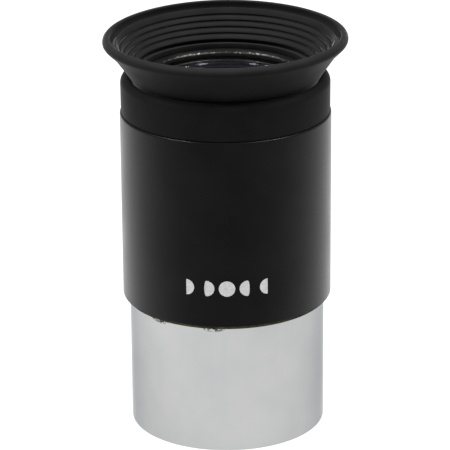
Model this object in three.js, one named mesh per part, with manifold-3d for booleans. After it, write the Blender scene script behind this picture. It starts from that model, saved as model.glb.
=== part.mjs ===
// A 1.25 inch telescope eyepiece of the symmetrical (Ploessl) type, with a rubber eyecup.
// Millimetres, +Z up along the optical axis, origin at the centre of the barrel's lower rim.
// Every piece is turned, moulded or ground about the one axis. They share the same number
// of facets and the same first facet, so a clearance between two of them is even all round.

import * as THREE from 'three';
import { mergeVertices } from 'three/addons/utils/BufferGeometryUtils.js';
import Module from 'manifold-3d';

// ---- driving dimensions ----------------------------------------------------------------

const FACETS = 48; // round the axis, on every turned piece
const SEAT_GAP = 0.05; // between faces that seat on each other
const FIT_GAP = 0.1; // radial clearance of a piece inside its bore

const BARREL_RADIUS = 31.75 / 2; // the standard 1.25 inch fitting
const BARREL_REACH = 21.5; // from the lower rim up to the body's shoulder
const COUNTERBORE_DEPTH = 0.5; // how far the barrel's full width goes into the body
const BARREL_BORE = 14.35;
const BARREL_CHAMFER = 0.2;
const FILTER_THREAD_CREST = 13.94; // M28.5 x 0.6, inside the lower end
const FILTER_THREAD_DEPTH = 4.4;
const FILTER_THREAD_LEAD_IN = 0.3;
const SPIGOT_RADIUS = 15.2; // the barrel's upper end, screwed into the body
const SPIGOT_LENGTH = 5.5;
const SEAT_LIP_RADIUS = 13.8; // the field stop lies on this lip
const SEAT_LIP_LOW = 22;
const SEAT_LIP_HIGH = 22.8;

const STOP_APERTURE = 13.4; // the field of view's edge
const STOP_THICKNESS = 0.4;
const STOP_RING_BORE = 13.65; // the threaded ring that clamps the stop
const STOP_RING_HEIGHT = 2.2;

const BODY_RADIUS = 17;
const BODY_TOP = 53.03; // the shoulder that the eyecup stands on
const BODY_LOWER_CHAMFER = 0.75;
const BODY_UPPER_CHAMFER = 0.2;
const BODY_THREAD_TOP = 28;
const BODY_WAIST_BORE = 14.3; // between the barrel and the lens cell
const BODY_WAIST_TOP = 35;
const NECK_RADIUS = 14.6; // the stretch that the eyecup grips
const NECK_TOP = 57.2;
const GROOVE_RADIUS = 14.2;
const GROOVE_LOW = 54.5;
const GROOVE_HIGH = 56.2;

const CELL_RADIUS = 13.6;
const CELL_BORE = 12.95;
const CELL_LOW = 35.6;
const CELL_FLANGE_RADIUS = 14.1;
const CELL_TOP = 59; // the plate round the eye lens
const CELL_APERTURE = 12.45;
const CELL_CHAMFER = 0.3;
const LENS_SEAT = 58; // the underside of the lip that holds the eye lens

const LENS_RADIUS = 12.85;
const OUTER_CURVE = 90; // radii of the doublets' surfaces
const CEMENTED_CURVE = 24;
const INNER_CURVE = 30;
const FLINT_EDGE = 5.2; // edge thicknesses
const CROWN_EDGE = 1.6;
const DOUBLET_GAP = 0.7; // between the two doublets, on the axis
const CURVE_STEPS = 4;
const SPACER_BORE = 11.9;
const RING_BORE = 12;
const RING_HEIGHT = 1.7;

const SPANNER_SLOT_WIDTH = 1.6;
const SPANNER_SLOT_DEPTH = 0.7;

const CUP_BAND_RADIUS = 16.84;
const CUP_LOW = 53.13;
const CUP_BAND_TOP = 58.96;
const CUP_BAND_ROUND = 1.2;
const CUP_BAND_CHAMFER = 0.15;
const CUP_INNER_RADIUS = 14.7;
const CUP_BEAD_RADIUS = 14.3; // the bead that sits in the body's groove
const CUP_BEAD_INSET = 0.1;
const CUP_COLLAR_RADIUS = 14.2; // where the cup closes in round the cell's flange
const CREVICE_LOW = 58; // the deep V between the band and the flare, where the cup flexes
const CREVICE_WALL = 15.25;
const CREVICE_RADIUS = 14.95;
const FLARE_RADIUS = 14.68; // the flare's outside, if carried down to CREVICE_LOW
const FLARE_SLOPE = 0.655; // radius gained for each millimetre of height
const CUP_SPLIT = 59.3; // below it the cup grips the body, above it the cup gives way
const CUP_SPLIT_GAP = 0.1;
const CUP_LIP_RADIUS = 13.5; // the cup's inner edge, over the plate's rim
const CUP_LIP_TOP = 59.9;
const RIB_COUNT = 5; // grooves round the inside of the flare
const RIB_FIRST = { r: 14.38, z: 60.35 };
const RIB_LAST = { r: 16.81, z: 63.92 };
const RIB_DEPTH = 0.35;
const RIB_HALF_WIDTH = 0.16;
const RIM_CENTRE = { r: 18.76, z: 64.93 };
const RIM_RADIUS = 0.8;
const RIM_STEPS = 7;

// ---- materials -------------------------------------------------------------------------

const material = (color, roughness, metalness) =>
  new THREE.MeshStandardMaterial({ color, roughness, metalness });

const rubber = material(0x1d1e1f, 0.8, 0);
const anodised = material(0x16171a, 0.45, 0.6);
const blackened = material(0x101113, 0.7, 0.4);
const chromed = material(0xc4c7cc, 0.22, 1);
const crownGlass = material(0xdfe8e6, 0.03, 0);
const flintGlass = material(0xd3d7ea, 0.03, 0);

// ---- geometry helpers ------------------------------------------------------------------

const eyepiece = new THREE.Group();

// A closed outline, given anticlockwise as [radius, height] pairs, turned about +Z.
// An outline that starts and ends on the axis makes a piece with no hole.
function turned(outline) {
  const points = outline.map(([r, z]) => new THREE.Vector2(r, z));
  const onAxis = outline[0][0] === 0 && outline[outline.length - 1][0] === 0;
  if (!onAxis) points.push(points[0].clone());
  const geometry = new THREE.LatheGeometry(points, FACETS);
  geometry.rotateX(Math.PI / 2);
  return geometry;
}

function plainRing(inner, outer, low, high) {
  return turned([[inner, low], [outer, low], [outer, high], [inner, high]]);
}

function arc(centre, radius, from, to, steps) {
  const points = [];
  for (let i = 0; i <= steps; i += 1) {
    const angle = THREE.MathUtils.degToRad(from + ((to - from) * i) / steps);
    points.push([centre.r + radius * Math.cos(angle), centre.z + radius * Math.sin(angle)]);
  }
  return points;
}

const sagitta = (curve, r) => curve - Math.sqrt(curve * curve - r * r);

// How far a lens surface has fallen away at its edge from its height at radius r, which is
// where a ring of that bore meets it.
const fallFrom = (curve, r) => sagitta(curve, LENS_RADIUS) - sagitta(curve, r);

function addPiece(name, geometry, finish) {
  const piece = new THREE.Mesh(geometry, finish);
  piece.name = name;
  eyepiece.add(piece);
}

// ---- boolean cuts ----------------------------------------------------------------------

const wasm = await Module();
wasm.setup();

function solidOf(geometry) {
  const bare = geometry.clone();
  bare.deleteAttribute('normal');
  bare.deleteAttribute('uv');
  const merged = mergeVertices(bare, 1e-5);
  return new wasm.Manifold(new wasm.Mesh({
    numProp: 3,
    vertProperties: new Float32Array(merged.attributes.position.array),
    triVerts: new Uint32Array(merged.index.array),
  }));
}

function geometryOf(solid) {
  const mesh = solid.getMesh();
  const geometry = new THREE.BufferGeometry();
  geometry.setAttribute('position', new THREE.BufferAttribute(mesh.vertProperties, 3));
  geometry.setIndex(new THREE.BufferAttribute(mesh.triVerts, 1));
  geometry.computeVertexNormals();
  return geometry;
}

// Two slots across the face of a ring at height `faceZ`, for the spanner that screws it in.
function withSpannerSlots(ring, faceZ) {
  const bar = new THREE.BoxGeometry(2 * BODY_RADIUS, SPANNER_SLOT_WIDTH, 2 * SPANNER_SLOT_DEPTH);
  bar.translate(0, 0, faceZ);
  return geometryOf(solidOf(ring).subtract(solidOf(bar)));
}

// ---- barrel and field stop -------------------------------------------------------------

function barrel() {
  const step = BARREL_REACH + COUNTERBORE_DEPTH - SEAT_GAP;
  const top = step + SPIGOT_LENGTH;
  const threadTop = FILTER_THREAD_DEPTH + BARREL_BORE - FILTER_THREAD_CREST;
  return turned([
    [FILTER_THREAD_CREST + FILTER_THREAD_LEAD_IN, 0],
    [BARREL_RADIUS - BARREL_CHAMFER, 0],
    [BARREL_RADIUS, BARREL_CHAMFER],
    [BARREL_RADIUS, step],
    [SPIGOT_RADIUS, step],
    [SPIGOT_RADIUS, top],
    [BARREL_BORE, top],
    [BARREL_BORE, SEAT_LIP_HIGH],
    [SEAT_LIP_RADIUS, SEAT_LIP_HIGH],
    [SEAT_LIP_RADIUS, SEAT_LIP_LOW],
    [BARREL_BORE, SEAT_LIP_LOW - (BARREL_BORE - SEAT_LIP_RADIUS)],
    [BARREL_BORE, threadTop],
    [FILTER_THREAD_CREST, FILTER_THREAD_DEPTH],
    [FILTER_THREAD_CREST, FILTER_THREAD_LEAD_IN],
  ]);
}

const stopLow = SEAT_LIP_HIGH + SEAT_GAP;
const stopHigh = stopLow + STOP_THICKNESS;
const stopOuter = BARREL_BORE - FIT_GAP;

// A flat disc with its inner edge bevelled to a thin rim from above.
function fieldStop() {
  return turned([
    [STOP_APERTURE, stopLow],
    [stopOuter, stopLow],
    [stopOuter, stopHigh],
    [STOP_APERTURE + STOP_THICKNESS / 2, stopHigh],
    [STOP_APERTURE, stopLow + STOP_THICKNESS / 2],
  ]);
}

function fieldStopRetainer() {
  const low = stopHigh + SEAT_GAP;
  const high = low + STOP_RING_HEIGHT;
  return withSpannerSlots(plainRing(STOP_RING_BORE, stopOuter, low, high), high);
}

// ---- body ------------------------------------------------------------------------------

function body() {
  const threadRadius = SPIGOT_RADIUS + FIT_GAP;
  const counterbore = BARREL_RADIUS + FIT_GAP;
  const cellBore = CELL_RADIUS + FIT_GAP;
  return turned([
    [threadRadius, BARREL_REACH + COUNTERBORE_DEPTH],
    [counterbore, BARREL_REACH + COUNTERBORE_DEPTH],
    [counterbore, BARREL_REACH],
    [BODY_RADIUS - BODY_LOWER_CHAMFER, BARREL_REACH],
    [BODY_RADIUS, BARREL_REACH + BODY_LOWER_CHAMFER],
    [BODY_RADIUS, BODY_TOP - BODY_UPPER_CHAMFER],
    [BODY_RADIUS - BODY_UPPER_CHAMFER, BODY_TOP],
    [NECK_RADIUS, BODY_TOP],
    [NECK_RADIUS, GROOVE_LOW],
    [GROOVE_RADIUS, GROOVE_LOW],
    [GROOVE_RADIUS, GROOVE_HIGH],
    [NECK_RADIUS, GROOVE_HIGH],
    [NECK_RADIUS, NECK_TOP],
    [cellBore, NECK_TOP],
    [cellBore, BODY_WAIST_TOP],
    [BODY_WAIST_BORE, BODY_WAIST_TOP - (BODY_WAIST_BORE - cellBore)],
    [BODY_WAIST_BORE, BODY_THREAD_TOP],
    [threadRadius, BODY_THREAD_TOP],
  ]);
}

// ---- lens cell and lenses --------------------------------------------------------------

function lensCell() {
  return turned([
    [CELL_BORE, CELL_LOW],
    [CELL_RADIUS, CELL_LOW],
    [CELL_RADIUS, NECK_TOP + SEAT_GAP],
    [CELL_FLANGE_RADIUS, NECK_TOP + SEAT_GAP],
    [CELL_FLANGE_RADIUS, CELL_TOP],
    [CELL_APERTURE + CELL_CHAMFER, CELL_TOP],
    [CELL_APERTURE, CELL_TOP - CELL_CHAMFER],
    [CELL_APERTURE, LENS_SEAT],
    [CELL_BORE, LENS_SEAT],
  ]);
}

// One surface of a lens from the axis to its edge: `edgeZ` is its height at the edge, and
// `crown` is 1 where the middle stands above the edge and -1 where it lies below.
function lensSurface(edgeZ, curve, crown) {
  const points = [];
  const full = sagitta(curve, LENS_RADIUS);
  for (let i = 0; i <= CURVE_STEPS; i += 1) {
    const r = (LENS_RADIUS * i) / CURVE_STEPS;
    points.push([r, edgeZ + crown * (full - sagitta(curve, r))]);
  }
  return points;
}

const lens = (lower, upper) => turned([...lower, ...upper.reverse()]);

// Heights of the eye doublet's surfaces at their edges, from the top down. The field
// doublet is the same one turned over, so its heights are mirrored about `middle`.
const eyeTop = LENS_SEAT - SEAT_GAP - fallFrom(OUTER_CURVE, CELL_APERTURE);
const eyeCement = eyeTop - FLINT_EDGE;
const eyeCrownTop = eyeCement - SEAT_GAP;
const eyeLow = eyeCrownTop - CROWN_EDGE;
const middle = eyeLow - sagitta(INNER_CURVE, LENS_RADIUS) - DOUBLET_GAP / 2;
const mirrored = (z) => 2 * middle - z;

function spacer() {
  const high = eyeLow - SEAT_GAP - fallFrom(INNER_CURVE, SPACER_BORE);
  return plainRing(SPACER_BORE, CELL_BORE - FIT_GAP, mirrored(high), high);
}

function lensRetainer() {
  const high = mirrored(eyeTop) - SEAT_GAP - fallFrom(OUTER_CURVE, RING_BORE);
  const low = high - RING_HEIGHT;
  return withSpannerSlots(plainRing(RING_BORE, CELL_BORE - FIT_GAP, low, high), low);
}

// ---- rubber eyecup ---------------------------------------------------------------------

const flareOuter = (z) => FLARE_RADIUS + FLARE_SLOPE * (z - CREVICE_LOW);

function eyecupBase() {
  const roundCentre = { r: CUP_BAND_RADIUS - CUP_BAND_ROUND, z: CUP_BAND_TOP - CUP_BAND_ROUND };
  const creviceTop = CREVICE_LOW + (CREVICE_RADIUS - FLARE_RADIUS) / FLARE_SLOPE;
  return turned([
    [CUP_INNER_RADIUS, CUP_LOW],
    [CUP_BAND_RADIUS - CUP_BAND_CHAMFER, CUP_LOW],
    [CUP_BAND_RADIUS, CUP_LOW + CUP_BAND_CHAMFER],
    ...arc(roundCentre, CUP_BAND_ROUND, 0, 90, 3),
    [CREVICE_WALL, CREVICE_LOW],
    [CREVICE_RADIUS, CREVICE_LOW],
    [CREVICE_RADIUS, creviceTop],
    [flareOuter(CUP_SPLIT), CUP_SPLIT],
    [CUP_LIP_RADIUS, CUP_SPLIT],
    [CUP_LIP_RADIUS, CELL_TOP + SEAT_GAP],
    [CUP_COLLAR_RADIUS, CELL_TOP + SEAT_GAP],
    [CUP_COLLAR_RADIUS, NECK_TOP + CUP_BEAD_INSET],
    [CUP_INNER_RADIUS, NECK_TOP + CUP_BEAD_INSET],
    [CUP_INNER_RADIUS, GROOVE_HIGH - CUP_BEAD_INSET],
    [CUP_BEAD_RADIUS, GROOVE_HIGH - CUP_BEAD_INSET],
    [CUP_BEAD_RADIUS, GROOVE_LOW + CUP_BEAD_INSET],
    [CUP_INNER_RADIUS, GROOVE_LOW + CUP_BEAD_INSET],
  ]);
}

function eyecupFlare() {
  const foot = CUP_SPLIT + CUP_SPLIT_GAP;
  const outline = [[CUP_LIP_RADIUS, foot], [flareOuter(foot), foot]];
  outline.push(...arc(RIM_CENTRE, RIM_RADIUS, -40, 190, RIM_STEPS));
  for (let i = RIB_COUNT - 1; i >= 0; i -= 1) {
    const share = i / (RIB_COUNT - 1);
    const r = RIB_FIRST.r + share * (RIB_LAST.r - RIB_FIRST.r);
    const z = RIB_FIRST.z + share * (RIB_LAST.z - RIB_FIRST.z);
    outline.push([r + FLARE_SLOPE * RIB_HALF_WIDTH, z + RIB_HALF_WIDTH]);
    outline.push([r + RIB_DEPTH, z]);
    outline.push([r - FLARE_SLOPE * RIB_HALF_WIDTH, z - RIB_HALF_WIDTH]);
  }
  outline.push([CUP_LIP_RADIUS, CUP_LIP_TOP]);
  return turned(outline);
}

// ---- assembly --------------------------------------------------------------------------

addPiece('barrel', barrel(), chromed);
addPiece('field_stop', fieldStop(), blackened);
addPiece('field_stop_retaining_ring', fieldStopRetainer(), blackened);
addPiece('body_tube', body(), anodised);
addPiece('lens_cell', lensCell(), anodised);
addPiece('eye_lens_flint', lens(
  lensSurface(eyeCement, CEMENTED_CURVE, 1),
  lensSurface(eyeTop, OUTER_CURVE, 1),
), flintGlass);
addPiece('eye_lens_crown', lens(
  lensSurface(eyeLow, INNER_CURVE, -1),
  lensSurface(eyeCrownTop, CEMENTED_CURVE, 1),
), crownGlass);
addPiece('lens_spacer', spacer(), blackened);
addPiece('field_lens_crown', lens(
  lensSurface(mirrored(eyeCrownTop), CEMENTED_CURVE, -1),
  lensSurface(mirrored(eyeLow), INNER_CURVE, 1),
), crownGlass);
addPiece('field_lens_flint', lens(
  lensSurface(mirrored(eyeTop), OUTER_CURVE, -1),
  lensSurface(mirrored(eyeCement), CEMENTED_CURVE, -1),
), flintGlass);
addPiece('lens_retaining_ring', lensRetainer(), blackened);
addPiece('eyecup_base', eyecupBase(), rubber);
addPiece('eyecup_flare', eyecupFlare(), rubber);

export default eyepiece;
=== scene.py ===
import math

import bmesh
import bpy
from mathutils import Matrix, Vector


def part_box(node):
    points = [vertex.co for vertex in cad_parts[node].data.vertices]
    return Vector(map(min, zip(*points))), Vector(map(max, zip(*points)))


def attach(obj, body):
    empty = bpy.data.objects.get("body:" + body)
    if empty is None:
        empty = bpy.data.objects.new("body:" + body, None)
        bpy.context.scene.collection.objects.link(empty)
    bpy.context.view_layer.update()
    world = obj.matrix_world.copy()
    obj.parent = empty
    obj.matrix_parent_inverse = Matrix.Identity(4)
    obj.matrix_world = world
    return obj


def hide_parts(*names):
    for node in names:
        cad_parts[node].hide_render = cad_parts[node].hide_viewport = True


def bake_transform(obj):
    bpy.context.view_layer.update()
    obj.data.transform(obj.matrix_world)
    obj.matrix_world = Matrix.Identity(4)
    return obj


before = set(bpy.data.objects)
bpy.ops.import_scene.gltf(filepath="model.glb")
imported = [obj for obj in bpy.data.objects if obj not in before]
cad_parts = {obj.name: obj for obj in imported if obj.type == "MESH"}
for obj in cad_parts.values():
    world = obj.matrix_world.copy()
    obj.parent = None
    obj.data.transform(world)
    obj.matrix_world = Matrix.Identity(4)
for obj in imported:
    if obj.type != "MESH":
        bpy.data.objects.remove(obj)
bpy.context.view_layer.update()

# Lengths are in millimetres, and MM turns them into Blender's metres. An outline is a list of
# (radius, height) points, and a spec for corners() is a list of (radius, height, corner size).
MM = 0.001
TURN = 2 * math.pi
FINE = 256           # facets round the axis on outer pieces
INNER = 160          # on the pieces that show only through an opening
LENS_FACETS = 192
LENS_STEPS = 32      # from a lens's axis to its edge
SHARP = 32           # degrees between faces from which an edge stays sharp
FIT_GAP = 0.1        # round a piece in its bore
SEAT_GAP = 0.05      # between faces that seat on each other
ROOT = "eyepiece"


# ---- measures taken from the frame -----------------------------------------------------

def low_z(node):
    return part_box(node)[0].z / MM


def high_z(node):
    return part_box(node)[1].z / MM


def radius(node):
    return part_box(node)[1].x / MM


BARREL_R = radius("barrel")
BODY_R = radius("body_tube")
BODY_LOW = low_z("body_tube")
NECK_TOP = high_z("body_tube")
CELL_R = radius("lens_cell")
CELL_LOW = low_z("lens_cell")
CELL_TOP = high_z("lens_cell")
CUP_LOW = low_z("eyecup_base")
BAND_R = radius("eyecup_base")
RIM_R = radius("eyecup_flare")
RIM_TOP = high_z("eyecup_flare")
LENS_R = radius("eye_lens_flint")


# ---- camera ----------------------------------------------------------------------------

SENSOR_WIDTH = 36
FOCAL_LENGTH = 231.29
CAMERA_PLACE = (-0.000172, -0.44144, 0.19814)    # metres
PITCH, ROLL, YAW = 20.504, -0.475, -0.0086       # degrees


def make_camera():
    data = bpy.data.cameras.new("camera")
    data.sensor_width = SENSOR_WIDTH
    data.lens = FOCAL_LENGTH
    data.clip_start = 0.01
    data.clip_end = 20
    camera = bpy.data.objects.new("camera", data)
    bpy.context.scene.collection.objects.link(camera)
    camera.location = CAMERA_PLACE
    camera.rotation_mode = "QUATERNION"
    aim = Matrix.Rotation(math.radians(-YAW), 4, "Z")
    aim = aim @ Matrix.Rotation(math.radians(90 - PITCH), 4, "X")
    aim = aim @ Matrix.Rotation(math.radians(ROLL), 4, "Z")
    camera.rotation_quaternion = aim.to_quaternion()
    bpy.context.scene.camera = camera


make_camera()


# ---- outlines --------------------------------------------------------------------------

LONGEST_CUT = 0.49   # of an edge, where a corner is turned into an arc


def fraction(value):
    return min(1.0, max(0.0, value))


def arc(r, z, size, start, end, steps):
    """Points of an arc about (r, z), from one angle to another in degrees."""
    angles = [math.radians(start + (end - start) * i / steps) for i in range(steps + 1)]
    return [(r + size * math.cos(a), z + size * math.sin(a)) for a in angles]


def corners(spec, steps=4):
    """A closed outline from its corners, each turned into an arc-like curve of its own size."""
    points = [Vector((r, z)) for r, z, _ in spec]
    out = []
    for i, (here, (_, _, size)) in enumerate(zip(points, spec)):
        if size <= 0:
            out.append(tuple(here))
            continue
        before = points[i - 1] - here
        after = points[(i + 1) % len(points)] - here
        cut = min(size, before.length * LONGEST_CUT, after.length * LONGEST_CUT)
        a = here + before.normalized() * cut
        b = here + after.normalized() * cut
        for k in range(steps + 1):
            t = k / steps
            out.append(tuple((1 - t) ** 2 * a + 2 * t * (1 - t) * here + t * t * b))
    return out


# ---- meshes ----------------------------------------------------------------------------

def add_object(name, mesh):
    made = bpy.data.objects.new(name, mesh)
    bpy.context.scene.collection.objects.link(made)
    return made


def smooth(mesh, sharp):
    for face in mesh.polygons:
        face.use_smooth = True
    mesh.set_sharp_from_angle(angle=math.radians(sharp))


def mesh_object(name, points, faces, sharp):
    """An object from points in metres, its faces turned outwards and smoothed."""
    mesh = bpy.data.meshes.new(name)
    mesh.from_pydata(points, [], faces)
    made = bmesh.new()
    made.from_mesh(mesh)
    bmesh.ops.recalc_face_normals(made, faces=made.faces)
    made.to_mesh(mesh)
    made.free()
    smooth(mesh, sharp)
    return add_object(name, mesh)


def turned(name, outline, segments=FINE, swell=None, sharp=SHARP):
    """A closed outline, anticlockwise, turned about Z.

    swell(angle, height, index) adds to a point's radius, for what isn't quite round.
    """
    rows = len(outline)
    points = []
    for s in range(segments):
        angle = TURN * s / segments
        for i, (r, z) in enumerate(outline):
            if swell:
                r += swell(angle, z, i)
            points.append((r * math.cos(angle) * MM, r * math.sin(angle) * MM, z * MM))
    faces = []
    for s in range(segments):
        a, b = s * rows, ((s + 1) % segments) * rows
        for i in range(rows):
            j = (i + 1) % rows
            faces.append((a + i, b + i, b + j, a + j))
    return mesh_object(name, points, faces, sharp)


def lens_mesh(name, lower, upper):
    """A lens from its lower and upper surfaces, each an outline from axis to edge."""
    outline = lower[1:] + list(reversed(upper[1:]))
    rows = len(outline)
    points = []
    for s in range(LENS_FACETS):
        angle = TURN * s / LENS_FACETS
        points += [(r * math.cos(angle) * MM, r * math.sin(angle) * MM, z * MM)
                   for r, z in outline]
    bottom = len(points)
    points += [(0, 0, lower[0][1] * MM), (0, 0, upper[0][1] * MM)]
    faces = []
    for s in range(LENS_FACETS):
        a, b = s * rows, ((s + 1) % LENS_FACETS) * rows
        faces += [(a + i, b + i, b + i + 1, a + i + 1) for i in range(rows - 1)]
        faces.append((bottom, b, a))
        faces.append((a + rows - 1, b + rows - 1, bottom + 1))
    return mesh_object(name, points, faces, sharp=20)


def cut_slots(piece, half_width, face_z, depth):
    """Two spanner slots across a ring's face: one bar is cut out of both its sides."""
    mesh = bpy.data.meshes.new("cutter")
    made = bmesh.new()
    bmesh.ops.create_cube(made, size=1)
    size = Vector((4 * BODY_R, 2 * half_width, 2 * depth)) * MM
    bmesh.ops.scale(made, vec=size, verts=made.verts)
    bmesh.ops.translate(made, vec=Vector((0, 0, face_z * MM)), verts=made.verts)
    made.to_mesh(mesh)
    made.free()
    cutter = add_object("cutter", mesh)
    modifier = piece.modifiers.new("slots", "BOOLEAN")
    modifier.operation = "DIFFERENCE"
    modifier.solver = "EXACT"
    modifier.object = cutter
    graph = bpy.context.evaluated_depsgraph_get()
    result = bpy.data.meshes.new_from_object(piece.evaluated_get(graph))
    piece.modifiers.clear()
    piece.data = result
    bpy.data.objects.remove(cutter)
    smooth(result, SHARP)


# ---- nodes for the materials -----------------------------------------------------------
# Nodes work in metres: places and bump distances are in metres, noise scales per metre.

def node(tree, kind, **settings):
    made = tree.nodes.new(kind)
    for key, value in settings.items():
        setattr(made, key, value)
    return made


def new_material(name, colour, roughness, metallic=0.0, specular=0.5):
    material = bpy.data.materials.new(name)
    material.use_nodes = True
    tree = material.node_tree
    shader = tree.nodes["Principled BSDF"]
    shader.inputs["Base Color"].default_value = (*colour, 1)
    shader.inputs["Roughness"].default_value = roughness
    shader.inputs["Metallic"].default_value = metallic
    shader.inputs["Specular IOR Level"].default_value = specular
    coordinates = node(tree, "ShaderNodeTexCoord")
    return material, tree, shader, coordinates.outputs["Object"]


def stretched(tree, place, scale):
    """Coordinates scaled differently along each axis."""
    mapping = node(tree, "ShaderNodeMapping")
    mapping.inputs["Scale"].default_value = scale
    tree.links.new(place, mapping.inputs["Vector"])
    return mapping.outputs["Vector"]


def split(tree, place):
    """The X, Y and Z of a place, as a node's outputs."""
    axes = node(tree, "ShaderNodeSeparateXYZ")
    tree.links.new(place, axes.inputs["Vector"])
    return axes.outputs


def noise_of(tree, place, scale, detail=3.0, roughness=0.5):
    made = node(tree, "ShaderNodeTexNoise")
    made.inputs["Scale"].default_value = scale
    made.inputs["Detail"].default_value = detail
    made.inputs["Roughness"].default_value = roughness
    tree.links.new(place, made.inputs["Vector"])
    return made.outputs["Fac"]


def spread(tree, value, from_low, from_high, to_low=0.0, to_high=1.0):
    """A value carried over from one range to another, and held at the ends."""
    made = node(tree, "ShaderNodeMapRange")
    made.inputs["From Min"].default_value = from_low
    made.inputs["From Max"].default_value = from_high
    made.inputs["To Min"].default_value = to_low
    made.inputs["To Max"].default_value = to_high
    tree.links.new(value, made.inputs["Value"])
    return made.outputs["Result"]


def combined(tree, operation, first, second):
    made = node(tree, "ShaderNodeMath", operation=operation)
    tree.links.new(first, made.inputs[0])
    tree.links.new(second, made.inputs[1])
    return made.outputs["Value"]


def near(tree, place, spot, reach):
    """1 at a spot, falling to 0 at `reach` metres from it."""
    gap = node(tree, "ShaderNodeVectorMath", operation="DISTANCE")
    tree.links.new(place, gap.inputs[0])
    gap.inputs[1].default_value = spot
    return spread(tree, gap.outputs["Value"], reach * 0.5, reach, 1, 0)


def mixed(tree, share, first, second):
    """A colour between two, each a plain colour or a socket."""
    made = node(tree, "ShaderNodeMix", data_type="RGBA")
    tree.links.new(share, made.inputs["Factor"])
    for socket, colour in ((made.inputs["A"], first), (made.inputs["B"], second)):
        if isinstance(colour, tuple):
            socket.default_value = (*colour, 1)
        else:
            tree.links.new(colour, socket)
    return made.outputs["Result"]


def mottled(tree, cloud, first, second, low=0.3, high=0.7):
    """The first colour where a noise is low, and the second where it is high."""
    return mixed(tree, spread(tree, cloud, low, high), first, second)


def bump(tree, shader, height, strength, distance):
    made = node(tree, "ShaderNodeBump")
    made.inputs["Strength"].default_value = strength
    made.inputs["Distance"].default_value = distance
    tree.links.new(height, made.inputs["Height"])
    tree.links.new(made.outputs["Normal"], shader.inputs["Normal"])


# ---- materials -------------------------------------------------------------------------

FLARE_TONE_LOW, FLARE_TONE_HIGH = 58.6, 60.2   # where the band's tone gives way to the flare's
SPECK_PATCHES = ((-43, 2.3), (-8, 2.1))  # (bearing in degrees, reach) of each patch of specks
SPECK_DROP = 0.15                        # from the shoulder down to the patches' middles
SPECK_FLATNESS = 3                       # how much wider than tall a patch is


def rubber():
    """Matt moulded rubber: fine-grained, a little patchy, and lighter on the flare than on the
    band.
    """
    material, tree, shader, place = new_material(
        "moulded_rubber", (0.005, 0.005, 0.0052), 0.6, specular=0.1)
    shader.inputs["Specular Tint"].default_value = (0.3, 0.3, 0.31, 1)
    shader.inputs["Sheen Weight"].default_value = 0.16
    shader.inputs["Sheen Roughness"].default_value = 0.25
    patches = noise_of(tree, place, 220, 4)
    share = spread(tree, patches, 0.35, 0.7)
    band = mixed(tree, share, (0.0036, 0.0036, 0.0037), (0.0052, 0.0052, 0.0051))
    flare = mixed(tree, share, (0.0054, 0.0055, 0.0056), (0.0077, 0.0077, 0.0075))
    # from the band's darker tone up to the flare's lighter one, by height
    flare_share = spread(tree, split(tree, place)["Z"], FLARE_TONE_LOW * MM, FLARE_TONE_HIGH * MM)
    tree.links.new(mixed(tree, flare_share, band, flare), shader.inputs["Base Color"])
    tree.links.new(spread(tree, patches, 0.3, 0.7, 0.64, 0.76), shader.inputs["Roughness"])
    bump(tree, shader, noise_of(tree, place, 5200, 3, 0.6), 0.25, 0.00004)
    return material


def anodised():
    """Satin black anodising over a fine bead-blasted surface."""
    material, tree, shader, place = new_material(
        "black_anodised", (0.003, 0.003, 0.003), 0.29, specular=0.45)
    shader.inputs["Specular Tint"].default_value = (0.06, 0.06, 0.06, 1)
    cloud = noise_of(tree, place, 130)
    tint = mottled(tree, cloud, (0.0036, 0.0037, 0.0037), (0.0052, 0.0053, 0.0052))
    tree.links.new(tint, shader.inputs["Base Color"])
    tree.links.new(spread(tree, cloud, 0.3, 0.7, 0.24, 0.3), shader.inputs["Roughness"])
    bump(tree, shader, noise_of(tree, place, 7000, 2, 0.6), 0.12, 0.00003)
    return material


def painted_edge_highlight():
    """The body's lower edge, with a painted highlight: a dull olive line along the chamfer."""
    material, tree, shader, place = new_material(
        "painted_edge_highlight", (0.03, 0.028, 0.018), 0.5, specular=0.0)
    highlight_grain = noise_of(tree, place, 700, 4, 0.6)
    tint = mottled(tree, highlight_grain, (0.01, 0.01, 0.009), (0.05, 0.046, 0.028), 0.38, 0.6)
    tree.links.new(tint, shader.inputs["Base Color"])
    bump(tree, shader, highlight_grain, 0.2, 0.00002)
    return material


def paint_specks(tree, place):
    """Where specks of the body's black have been left on the barrel, under the shoulder."""
    flat = stretched(tree, place, (1, 1, SPECK_FLATNESS))
    height = SPECK_FLATNESS * (BODY_LOW - SPECK_DROP)
    found = []
    for bearing, reach in SPECK_PATCHES:
        turn = math.radians(bearing)
        spot = Vector((BARREL_R * math.sin(turn), -BARREL_R * math.cos(turn), height)) * MM
        found.append(near(tree, flat, spot, reach * MM))
    grains = spread(tree, noise_of(tree, place, 2600, 3, 0.6), 0.46, 0.49)
    return combined(tree, "MULTIPLY", combined(tree, "MAXIMUM", *found), grains)


def plated():
    """Chrome plating over fine lathe lines, with light rub marks from the focuser."""
    material, tree, shader, place = new_material(
        "chrome_plating", (0.42, 0.43, 0.44), 0.16, metallic=1.0)
    shader.inputs["Specular Tint"].default_value = (0.62, 0.63, 0.65, 1)
    lines = noise_of(tree, stretched(tree, place, (40, 40, 9000)), 1, 4, 0.65)
    rubs = noise_of(tree, stretched(tree, place, (900, 900, 60)), 1, 3, 0.6)
    cloud = noise_of(tree, place, 160)
    tint = mottled(tree, cloud, (0.421, 0.428, 0.431), (0.45, 0.454, 0.45))
    specks = paint_specks(tree, place)
    tree.links.new(mixed(tree, specks, tint, (0.01, 0.01, 0.01)), shader.inputs["Base Color"])
    tree.links.new(spread(tree, specks, 0, 1, 1, 0.2), shader.inputs["Metallic"])
    tree.links.new(spread(tree, rubs, 0.35, 0.75, 0.13, 0.24), shader.inputs["Roughness"])
    bump(tree, shader, lines, 0.06, 0.00002)
    return material


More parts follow.
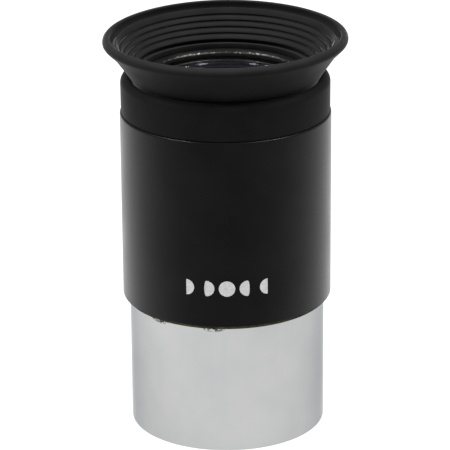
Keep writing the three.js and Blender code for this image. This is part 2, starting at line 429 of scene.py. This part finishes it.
def blackened():
    """Matt black paint over turned metal, inside the barrel and on its rings."""
    material, tree, shader, place = new_material(
        "matt_black", (0.006, 0.006, 0.0062), 0.62, specular=0.05)
    tint = mottled(tree, noise_of(tree, place, 400, 4),
                   (0.004, 0.004, 0.0042), (0.008, 0.0079, 0.0075))
    tree.links.new(tint, shader.inputs["Base Color"])
    bump(tree, shader, noise_of(tree, stretched(tree, place, (60, 60, 6000)), 1), 0.2, 0.00003)
    return material


def plate_black():
    """The plate round the eye lens: dull black anodising, uneven at close range."""
    material, tree, shader, place = new_material(
        "cell_anodised", (0.005, 0.005, 0.005), 0.5, specular=0.07)
    shader.inputs["Specular Tint"].default_value = (0.4, 0.4, 0.4, 1)
    tint = mottled(tree, noise_of(tree, place, 500, 4),
                   (0.0016, 0.0016, 0.0018), (0.004, 0.0039, 0.0037))
    tree.links.new(tint, shader.inputs["Base Color"])
    bump(tree, shader, noise_of(tree, place, 6000), 0.3, 0.00003)
    return material


def worn_edge():
    """The chamfer round the eye lens: bare metal glints through the worn anodising."""
    material, tree, shader, place = new_material(
        "worn_chamfer", (0.012, 0.012, 0.012), 0.4, specular=0.1)
    flecks = noise_of(tree, place, 4200, 3, 0.6)
    bare = spread(tree, flecks, 0.55, 0.61)
    tint = mixed(tree, bare, (0.002, 0.002, 0.002), (0.12, 0.115, 0.102))
    tree.links.new(tint, shader.inputs["Base Color"])
    tree.links.new(bare, shader.inputs["Metallic"])
    bump(tree, shader, flecks, 0.6, 0.00006)
    return material


def glass(name, index, tint):
    """Coated optical glass, faintly smeared; what it reflects is bluish violet."""
    material, tree, shader, place = new_material(name, tint, 0.0)
    shader.inputs["IOR"].default_value = index
    shader.inputs["Transmission Weight"].default_value = 1
    shader.inputs["Specular Tint"].default_value = (0.66, 0.6, 0.85, 1)
    smear = spread(tree, noise_of(tree, place, 90), 0.5, 0.8, 0.0, 0.012)
    tree.links.new(smear, shader.inputs["Roughness"])
    return material


def optical_cement():
    """The two cemented faces of a doublet, where light goes straight through."""
    material, tree, shader, place = new_material(
        "optical_cement", (1, 1, 1), 0.0, specular=0.0)
    shader.inputs["IOR"].default_value = 1.0
    shader.inputs["Transmission Weight"].default_value = 1
    tint = mottled(tree, noise_of(tree, place, 300, 2), (0.99, 0.99, 0.985), (1.0, 1.0, 1.0))
    tree.links.new(tint, shader.inputs["Base Color"])
    return material


def print_silver():
    """Silver pad-printing ink."""
    material, tree, shader, place = new_material(
        "silver_print", (0.44, 0.44, 0.44), 0.45, specular=0.3)
    tint = mottled(tree, noise_of(tree, place, 2500), (0.34, 0.34, 0.345), (0.42, 0.42, 0.42))
    tree.links.new(tint, shader.inputs["Base Color"])
    return material


RUBBER = rubber()
ANODISED = anodised()
PLATED = plated()
# the body's lower chamfer, with its painted olive highlight
EDGE_HIGHLIGHT = painted_edge_highlight()
BLACKENED = blackened()
PLATE = plate_black()
WORN = worn_edge()
CROWN = glass("crown_glass", 1.52, (0.97, 0.99, 0.98))
FLINT = glass("flint_glass", 1.62, (0.97, 0.975, 1.0))
CEMENT = optical_cement()
SILVER = print_silver()


def paint(piece, *materials, choose=None):
    """Gives a piece its materials; choose(radius, height) picks each face's."""
    for material in materials:
        piece.data.materials.append(material)
    if choose:
        for face in piece.data.polygons:
            at = face.center / MM
            face.material_index = choose(math.hypot(at.x, at.y), at.z)


# ---- rubber eyecup ---------------------------------------------------------------------

NECK_R = 14.6        # the body's neck, which the cup grips, and the groove round it
GROOVE_R = 14.2
GROOVE_LOW = 54.5
GROOVE_HIGH = 56.2
COLLAR_LOW = NECK_TOP + 0.15    # where the cup closes in above the neck

BAND_LOW = CUP_LOW - 0.08
BAND_TOP = 58.96
BAND_ROUND = 1.2
BAND_FLARE = 0.09    # how far the band stands out at its lower edge
BAND_INSIDE = 15.6   # the band's wall in the crevice
CREVICE_Z = 58.0     # the V between the band and the flare
CREVICE_R = 14.95
CREVICE_WIDTH = 0.22
FLARE_FOOT = 14.68   # the flare's outer line, if carried down to CREVICE_Z
FLARE_SLOPE = 0.655
FLARE_HEIGHTS = (59.3, 60.0, 61.0, 62.0, 63.0)   # points of that line, so that it can bend
LIP_R = 13.5         # the cup's inner edge, over the plate's rim
LIP_TOP = 59.94
LIP_WIDTH = 0.4
LIP_FALL = 0.06      # how much lower its inner edge is
RIM_BEAD = 0.8
UNDERCUT = (         # down the rim's inside and through the narrow slot under it
    (18.42, 65.62), (18.4, 65.5), (18.58, 64.95), (18.54, 64.55), (18.35, 64.27),
    (18.05, 64.2), (17.78, 64.42), (17.52, 64.78), (17.4, 64.78),
)

RIB_COUNT = 5
RIB_FIRST = Vector((14.28, 60.2))
RIB_LAST = Vector((16.71, 63.77))
GROOVE = (           # (up the flare, into the flare) about a groove's middle
    (0.31, 0.0), (0.25, -0.03), (0.2, -0.12), (0.1, -0.25), (-0.08, -0.25), (-0.19, -0.16),
    (-0.25, -0.05), (-0.31, -0.01), (-0.56, -0.02),
)
LOWEST_GROOVE = (    # deep and wide
    (0.31, 0.0), (0.22, -0.03), (0.14, -0.12), (0.1, -0.85), (-0.25, -0.85), (-0.42, -0.3),
    (-0.6, -0.05),
)

SOFT_LOW = 59.5      # the rim's swell and lean fade in between these heights
SOFT_HIGH = RIM_TOP - 1
SWELL = 0.1          # how far the rim stands out at +X
LEAN_ACROSS = 0.17   # up at +X and down at -X
LEAN_ALL = 0.1       # down all round
LEAN_TWIST = 0.12    # up at front and back, down at the sides
LEAN_FRONT = 0.13    # down in a narrow part at the front
LEAN_BACK = 0.18     # down at the back, towards +X


def flare_outer(z):
    return FLARE_FOOT + FLARE_SLOPE * (z - CREVICE_Z)


def rib_outline():
    """The ribbed inside of the flare, from the uppermost groove down to the lowest."""
    along = (RIB_LAST - RIB_FIRST).normalized()
    inward = Vector((-along.y, along.x))
    step = (RIB_LAST - RIB_FIRST) / (RIB_COUNT - 1)
    points = []
    for i in reversed(range(RIB_COUNT)):
        middle = RIB_FIRST + step * i
        for forward, out in GROOVE if i else LOWEST_GROOVE:
            points.append(tuple(middle + along * forward + inward * out))
    return points


def eyecup_outline():
    foot = CREVICE_Z + (CREVICE_R - FLARE_FOOT) / FLARE_SLOPE
    skirt_r = NECK_R + FIT_GAP
    bead_r = GROOVE_R + FIT_GAP
    collar_r = CELL_R + FIT_GAP
    points = corners([(skirt_r, BAND_LOW, 0.05), (BAND_R + BAND_FLARE, BAND_LOW, 0.12)])
    points += arc(BAND_R - BAND_ROUND, BAND_TOP - BAND_ROUND, BAND_ROUND, 0, 84, 10)
    points += corners([
        (BAND_INSIDE, BAND_TOP, 0.12), (CREVICE_R + CREVICE_WIDTH, CREVICE_Z, 0.1),
        (CREVICE_R, CREVICE_Z, 0.06), (CREVICE_R, foot, 0.3),
    ])
    points += [(flare_outer(z), z) for z in FLARE_HEIGHTS]
    points += arc(RIM_R - RIM_BEAD, RIM_TOP - RIM_BEAD, RIM_BEAD, -48, 104, 18)
    points += UNDERCUT
    points += rib_outline()
    points += corners([
        (LIP_R + LIP_WIDTH, LIP_TOP, 0.06), (LIP_R, LIP_TOP - LIP_FALL, 0.1),
        (LIP_R, CELL_TOP + SEAT_GAP, 0.05), (collar_r, CELL_TOP + SEAT_GAP, 0),
        (collar_r, COLLAR_LOW, 0), (skirt_r, COLLAR_LOW, 0),
        (skirt_r, GROOVE_HIGH - FIT_GAP, 0), (bead_r, GROOVE_HIGH - FIT_GAP, 0.05),
        (bead_r, GROOVE_LOW + FIT_GAP, 0.05), (skirt_r, GROOVE_LOW + FIT_GAP, 0),
    ], 3)
    return points


def rim_share(z):
    """How far a height is up the flare, from 0 at its foot to 1 at its rim."""
    share = fraction((z - SOFT_LOW) / (SOFT_HIGH - SOFT_LOW))
    return share * share * (3 - 2 * share)


def rim_swell(angle, z, _index):
    """The soft rim isn't quite round: it stands out a little on one side."""
    return SWELL * ((1 + math.cos(angle)) / 2) ** 2 * rim_share(z)


def settle_rim(piece):
    """The soft rim isn't quite level either: it has sagged by a fraction of a millimetre."""
    for vertex in piece.data.vertices:
        at = vertex.co
        angle = math.atan2(at.y, at.x)
        across, back = math.cos(angle), math.sin(angle)
        lean = LEAN_ACROSS * across - LEAN_ALL - LEAN_TWIST * math.cos(2 * angle)
        lean -= LEAN_FRONT * max(0.0, -back) ** 4
        lean -= LEAN_BACK * max(0.0, back) * max(0.0, across)
        at.z += lean * rim_share(at.z / MM) * MM


def eyecup():
    piece = turned("eyecup", eyecup_outline(), swell=rim_swell, sharp=50)
    settle_rim(piece)
    paint(piece, RUBBER)
    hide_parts("eyecup_base", "eyecup_flare")
    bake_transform(piece)


# ---- body ------------------------------------------------------------------------------

BODY_TOP = BAND_LOW - 0.1
EDGE = 0.55          # the chamfer round the body's lower end
RECESS = 0.5         # how far the barrel's full width goes up into the body
SPIGOT_R = 15.2      # the barrel's upper end, screwed into the body
THREADED_TOP = 28.0
WAIST_R = 14.3       # between the barrel and the lens cell
WAIST_TOP = 35.0
WAIST_SLOPE = 0.6
CELL_SLEEVE_R = 13.6     # the lens cell's outside, in the body
BLACK_INSIDE = 52        # below it the body's inside is painted, not anodised


def body():
    bore = CELL_SLEEVE_R + FIT_GAP
    threaded = SPIGOT_R + FIT_GAP
    counterbore = BARREL_R + FIT_GAP
    outline = corners([
        (threaded, BODY_LOW + RECESS, 0.02), (counterbore, BODY_LOW + RECESS, 0.02),
        (counterbore, BODY_LOW, 0.03), (BODY_R - EDGE, BODY_LOW, 0.06),
        (BODY_R, BODY_LOW + EDGE, 0.12), (BODY_R, BODY_TOP, 0.35), (NECK_R, BODY_TOP, 0.05),
        (NECK_R, GROOVE_LOW, 0.02), (GROOVE_R, GROOVE_LOW, 0.02),
        (GROOVE_R, GROOVE_HIGH, 0.02), (NECK_R, GROOVE_HIGH, 0.02),
        (NECK_R, NECK_TOP, 0.1), (bore, NECK_TOP, 0.1), (bore, WAIST_TOP, 0.05),
        (WAIST_R, WAIST_TOP - WAIST_SLOPE, 0.05), (WAIST_R, THREADED_TOP, 0.02),
        (threaded, THREADED_TOP, 0.02),
    ])
    piece = turned("body", outline)

    def choose(r, z):
        # The chamfer and the curve above it carry the painted olive highlight, and the curve
        # below it doesn't.
        if r > BODY_R - EDGE and BODY_LOW + 0.02 < z < BODY_LOW + EDGE + 0.07:
            return 2
        return int(r < SPIGOT_R and z < BLACK_INSIDE)

    paint(piece, ANODISED, BLACKENED, EDGE_HIGHLIGHT, choose=choose)
    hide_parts("body_tube")
    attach(piece, ROOT)


# ---- barrel and what it holds ----------------------------------------------------------

THREAD_PITCH = 0.6   # the filter thread, inside the lower end
THREAD_DEPTH = 0.31
THREAD_LOW = 0.25
THREAD_TOP = 4.4
THREAD_VALLEY = 0.42     # of the pitch, from the valley's middle to the crest
THREAD_FADE_IN = 0.2     # lengths over which the valley deepens at the thread's ends
THREAD_FADE_OUT = 0.3
THREAD_ROWS = 72
CREST_R = 13.94
FOOT_R = 14.3        # the inner edge of the rim that the barrel stands on
BORE_R = 14.35
BORE_LOW = 4.9
PAINTED_R = 14.6     # nearer the axis than this, and above PAINTED_LOW, the barrel is black
PAINTED_LOW = 0.05
STOP_LIP_R = 13.8    # the lip that the field stop lies on
STOP_LIP_LOW = 22.0
STOP_LIP_TOP = 22.8
STOP_LIP_SLOPE = 0.5
STOP_APERTURE = 13.4
STOP_BEVEL = 0.2
STOP_EDGE = 0.06     # the thickness left at the aperture
STOP_RING_BORE = 13.65
LENS_RING_BORE = 12.0
SPACER_BORE = 11.9
SLOT_HALF_WIDTH = 0.8
SLOT_DEPTH = 0.7


def thread(angle, z):
    """The depth of the filter thread's helical groove, cut into the crest radius."""
    turns = (z - THREAD_PITCH * angle / TURN) / THREAD_PITCH
    share = turns - math.floor(turns)
    valley = max(0.0, 1 - abs(share - 0.5) / THREAD_VALLEY)
    fade = fraction((z - THREAD_LOW) / THREAD_FADE_IN)
    fade *= fraction((THREAD_TOP - z) / THREAD_FADE_OUT)
    return THREAD_DEPTH * valley * fade


def barrel():
    low, high = low_z("barrel"), high_z("barrel")
    shoulder = BODY_LOW + RECESS - SEAT_GAP
    start = corners([
        (FOOT_R, low, 0.08), (BARREL_R, low, 0.2), (BARREL_R, shoulder, 0.05),
        (SPIGOT_R, shoulder, 0.05), (SPIGOT_R, high, 0.1), (BORE_R, high, 0.1),
        (BORE_R, STOP_LIP_TOP, 0.05), (STOP_LIP_R, STOP_LIP_TOP, 0.05),
        (STOP_LIP_R, STOP_LIP_LOW, 0.05), (BORE_R, STOP_LIP_LOW - STOP_LIP_SLOPE, 0.05),
        (BORE_R, BORE_LOW, 0.1),
    ])
    wall = [(CREST_R, THREAD_TOP + (THREAD_LOW - THREAD_TOP) * i / THREAD_ROWS)
            for i in range(THREAD_ROWS + 1)]

    def swell(angle, z, i):
        return thread(angle, z) if i >= len(start) else 0.0

    piece = turned("barrel_tube", start + wall, swell=swell, sharp=40)
    paint(piece, PLATED, BLACKENED,
          choose=lambda r, z: int(r < PAINTED_R and z > PAINTED_LOW))
    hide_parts("barrel")
    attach(piece, ROOT)


def ring(name, cad_node, inner, bevel, slot_up):
    """A threaded ring with two spanner slots, its thread left out, or a plain one where slot_up
    is None.
    """
    low, high, outer = low_z(cad_node), high_z(cad_node), radius(cad_node)
    outline = corners([
        (inner, low, bevel), (outer, low, 0.08), (outer, high, 0.08), (inner, high, bevel),
    ], 3)
    piece = turned(name, outline, segments=INNER)
    if slot_up is not None:
        cut_slots(piece, SLOT_HALF_WIDTH, high if slot_up else low, SLOT_DEPTH)
    paint(piece, BLACKENED)
    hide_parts(cad_node)
    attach(piece, ROOT)


def field_stop():
    low, high, outer = low_z("field_stop"), high_z("field_stop"), radius("field_stop")
    outline = [(STOP_APERTURE, low), (outer, low), (outer, high),
               (STOP_APERTURE + STOP_BEVEL, high), (STOP_APERTURE, low + STOP_EDGE)]
    piece = turned("stop_disc", outline, segments=INNER)
    paint(piece, BLACKENED)
    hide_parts("field_stop")
    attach(piece, ROOT)


# ---- lens cell -------------------------------------------------------------------------

CELL_BORE = 12.95
LENS_SEAT = 58.0     # the underside of the edge that holds the eye lens
CHAMFER_R = 12.75    # the chamfer round the eye lens, from the plate down
WORN_R = 12.52       # its lower part is worn
OPENING_R = 12.35
WORN_TOP = 0.27      # the worn part, measured down from the cell's top
WORN_LOW = 0.48
PLATE_LINES = 7      # lathe lines turned in the plate
FIRST_LINE = 13.95
LAST_LINE = 12.9
LINE_HALF_WIDTH = 0.05
LINE_DEPTH = 0.012


def plate_outline():
    points = []
    for i in range(PLATE_LINES):
        r = FIRST_LINE - (FIRST_LINE - LAST_LINE) * i / (PLATE_LINES - 1)
        points += [(r + LINE_HALF_WIDTH, CELL_TOP), (r, CELL_TOP - LINE_DEPTH),
                   (r - LINE_HALF_WIDTH, CELL_TOP)]
    return points


def lens_cell():
    flange = NECK_TOP + SEAT_GAP
    worn_top, worn_low = CELL_TOP - WORN_TOP, CELL_TOP - WORN_LOW
    outline = corners([
        (CELL_BORE, CELL_LOW, 0.05), (CELL_SLEEVE_R, CELL_LOW, 0.1),
        (CELL_SLEEVE_R, flange, 0.02), (CELL_R, flange, 0.05), (CELL_R, CELL_TOP, 0.08),
    ], 3)
    outline += plate_outline()
    outline += corners([
        (CHAMFER_R, CELL_TOP, 0.04), (WORN_R, worn_top, 0.04), (OPENING_R, worn_low, 0.04),
        (OPENING_R, LENS_SEAT, 0.03), (CELL_BORE, LENS_SEAT, 0.02),
    ], 3)
    piece = turned("cell", outline, sharp=25)

    def choose(r, z):
        if z < worn_low:
            return 2
        return int(r < CHAMFER_R and z < worn_top)

    paint(piece, PLATE, WORN, BLACKENED, choose=choose)
    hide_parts("lens_cell")
    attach(piece, ROOT)


# ---- lenses ----------------------------------------------------------------------------

OUTER_CURVE = 90     # the surfaces' radii
CEMENTED_CURVE = 24
INNER_CURVE = 30
FLINT_EDGE = 5.2     # edge thicknesses
CROWN_EDGE = 1.6
CEMENT_GAP = 0.05


def sagitta(curve, r):
    return curve - math.sqrt(curve * curve - r * r)


def surface(edge_z, curve, crown):
    """A spherical surface from its edge's height; a crown of 1 bulges up, -1 down."""
    full = sagitta(curve, LENS_R)
    radii = [LENS_R * i / LENS_STEPS for i in range(LENS_STEPS + 1)]
    return [(r, edge_z + crown * (full - sagitta(curve, r))) for r in radii]


def lenses():
    """Two alike doublets, the lower one the mirror image of the upper."""
    eye_top = high_z("eye_lens_flint") - sagitta(OUTER_CURVE, LENS_R)
    cement = eye_top - FLINT_EDGE
    crown_top = cement - CEMENT_GAP
    low = crown_top - CROWN_EDGE
    twice_middle = high_z("eye_lens_flint") + low_z("field_lens_flint")

    def mirrored(z):
        return twice_middle - z

    # The last value says whether the cemented face is the upper one.
    parts = (
        ("eye_lens_top", "eye_lens_flint", FLINT, "flint_glass",
         surface(cement, CEMENTED_CURVE, 1), surface(eye_top, OUTER_CURVE, 1), False),
        ("eye_lens_lower", "eye_lens_crown", CROWN, "crown_glass",
         surface(low, INNER_CURVE, -1), surface(crown_top, CEMENTED_CURVE, 1), True),
        ("field_lens_upper", "field_lens_crown", CROWN, "crown_glass",
         surface(mirrored(crown_top), CEMENTED_CURVE, -1),
         surface(mirrored(low), INNER_CURVE, 1), False),
        ("field_lens_bottom", "field_lens_flint", FLINT, "flint_glass",
         surface(mirrored(eye_top), OUTER_CURVE, -1),
         surface(mirrored(cement), CEMENTED_CURVE, -1), True),
    )
    for name, cad_node, material, slot, lower, upper, cemented_above in parts:
        piece = lens_mesh(name, lower, upper)
        paint(piece, material, CEMENT)
        for face in piece.data.polygons:
            across_the_light = abs(face.normal.z) > 0.5
            cemented = (face.normal.z > 0) == cemented_above
            face.material_index = int(across_the_light and cemented)
        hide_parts(cad_node)
        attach(piece, ROOT)


# ---- printed mark ----------------------------------------------------------------------

MARK_Z = 28.6
MARK_DISC = 1.3
MARK_STEP = 3.3
INK_LIFT = 0.02
LIMB_STEPS = 28
PHASES = (           # (place in the row, lit share, side that is lit)
    (-2, 0.3, 1), (-1, 0.62, 1), (0, 1.0, 1), (1, 0.62, -1), (2, 0.3, -1),
)


def phase_outline(lit, side):
    """A moon disc lit on one side: lit runs from 0, new, to 1, full."""
    limb = [math.radians(-90 + 180 * i / LIMB_STEPS) for i in range(LIMB_STEPS + 1)]
    inner = side * MARK_DISC * (1 - 2 * lit)
    points = [(side * MARK_DISC * math.cos(a), MARK_DISC * math.sin(a)) for a in limb]
    points += [(inner * math.cos(a), MARK_DISC * math.sin(a)) for a in reversed(limb[1:-1])]
    return points


def printed_mark():
    """A row of moon phases in silver ink, wrapped round the front of the body."""
    made = bmesh.new()
    r = BODY_R + INK_LIFT
    for place, lit, side in PHASES:
        verts = []
        for across, up in phase_outline(lit, side):
            angle = (place * MARK_STEP + across) / BODY_R
            at = Vector((r * math.sin(angle), -r * math.cos(angle), MARK_Z + up))
            verts.append(made.verts.new(at * MM))
        made.faces.new(verts)
    bmesh.ops.triangulate(made, faces=made.faces)
    mesh = bpy.data.meshes.new("printed_mark")
    made.to_mesh(mesh)
    made.free()
    piece = add_object("printed_mark", mesh)
    paint(piece, SILVER)
    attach(piece, ROOT)


eyecup()
body()
barrel()
field_stop()
ring("stop_clamp_ring", "field_stop_retaining_ring", STOP_RING_BORE, bevel=0.1, slot_up=True)
ring("lens_clamp_ring", "lens_retaining_ring", LENS_RING_BORE, bevel=0.1, slot_up=False)
ring("spacer_ring", "lens_spacer", SPACER_BORE, bevel=0.15, slot_up=None)
lens_cell()
lenses()
printed_mark()


# ---- studio ----------------------------------------------------------------------------

FLOOR_HALF = 3.0     # metres, as all lengths from here on
FLOOR_DROP = 0.00002     # the barrel's rim stands just clear of the floor
GLOW_LEFT, GLOW_RIGHT = 1.08, 0.88   # the floor's own light, on either side of the eyepiece
GLOW_REACH = 0.15
AMBIENT = 0.42       # light from all round; the camera sees it as plain white
LAMP_AIM = Vector((0, 0, 0.05))
LAMP_AWAY = 0.9
LAMPS = (            # (name, elevation, bearing, watts, size); at a bearing of 0 it's in front
    ("left_low_lamp", 54, -80, 5, 0.13), ("right_low_lamp", 54, 80, 5, 0.13),
    ("left_high_lamp", 67, -88, 6, 0.13), ("right_high_lamp", 67, 88, 6, 0.13),
    # the four spots of light on the eye lens
    ("left_front_glint", 50, -54, 3.8, 0.14), ("right_front_glint", 55, 47, 3.8, 0.14),
    ("left_side_glint", 38, -71, 2.6, 0.12), ("right_side_glint", 43, 70, 2.6, 0.12),
)


def make_floor():
    mesh = bpy.data.meshes.new("floor")
    size = FLOOR_HALF
    mesh.from_pydata([(-size, -size, 0), (size, -size, 0), (size, size, 0), (-size, size, 0)],
                     [], [(0, 1, 2, 3)])
    floor = add_object("floor", mesh)
    material, tree, shader, place = new_material(
        "pale_floor", (0.08, 0.08, 0.08), 0.9, specular=0)
    shader.inputs["Emission Color"].default_value = (1, 1, 1, 1)
    glow = spread(tree, split(tree, place)["X"], -GLOW_REACH, GLOW_REACH, GLOW_LEFT, GLOW_RIGHT)
    tree.links.new(glow, shader.inputs["Emission Strength"])
    floor.data.materials.append(material)
    floor.location.z = -FLOOR_DROP


def make_world():
    world = bpy.data.worlds.new("studio")
    bpy.context.scene.world = world
    world.use_nodes = True
    tree = world.node_tree
    back = tree.nodes["Background"]
    back.inputs["Color"].default_value = (1, 1, 1, 1)
    seen = node(tree, "ShaderNodeLightPath").outputs["Is Camera Ray"]
    tree.links.new(spread(tree, seen, 0, 1, AMBIENT, 1), back.inputs["Strength"])


def make_lamp(name, elevation, bearing, power, size):
    """A square lamp aimed at the eyepiece."""
    up, turn = math.radians(elevation), math.radians(bearing)
    towards = Vector((math.cos(up) * math.sin(turn), -math.cos(up) * math.cos(turn),
                      math.sin(up)))
    data = bpy.data.lights.new(name, "AREA")
    data.shape = "RECTANGLE"
    data.size, data.size_y = size, size
    data.energy = power
    lamp = bpy.data.objects.new(name, data)
    bpy.context.scene.collection.objects.link(lamp)
    lamp.location = LAMP_AIM + LAMP_AWAY * towards
    lamp.rotation_mode = "QUATERNION"
    lamp.rotation_quaternion = towards.to_track_quat("Z", "Y")
    lamp.visible_camera = False


make_floor()
make_world()
for lamp_values in LAMPS:
    make_lamp(*lamp_values)
bpy.context.scene.view_settings.view_transform = "Standard"

bpy.context.view_layer.update()
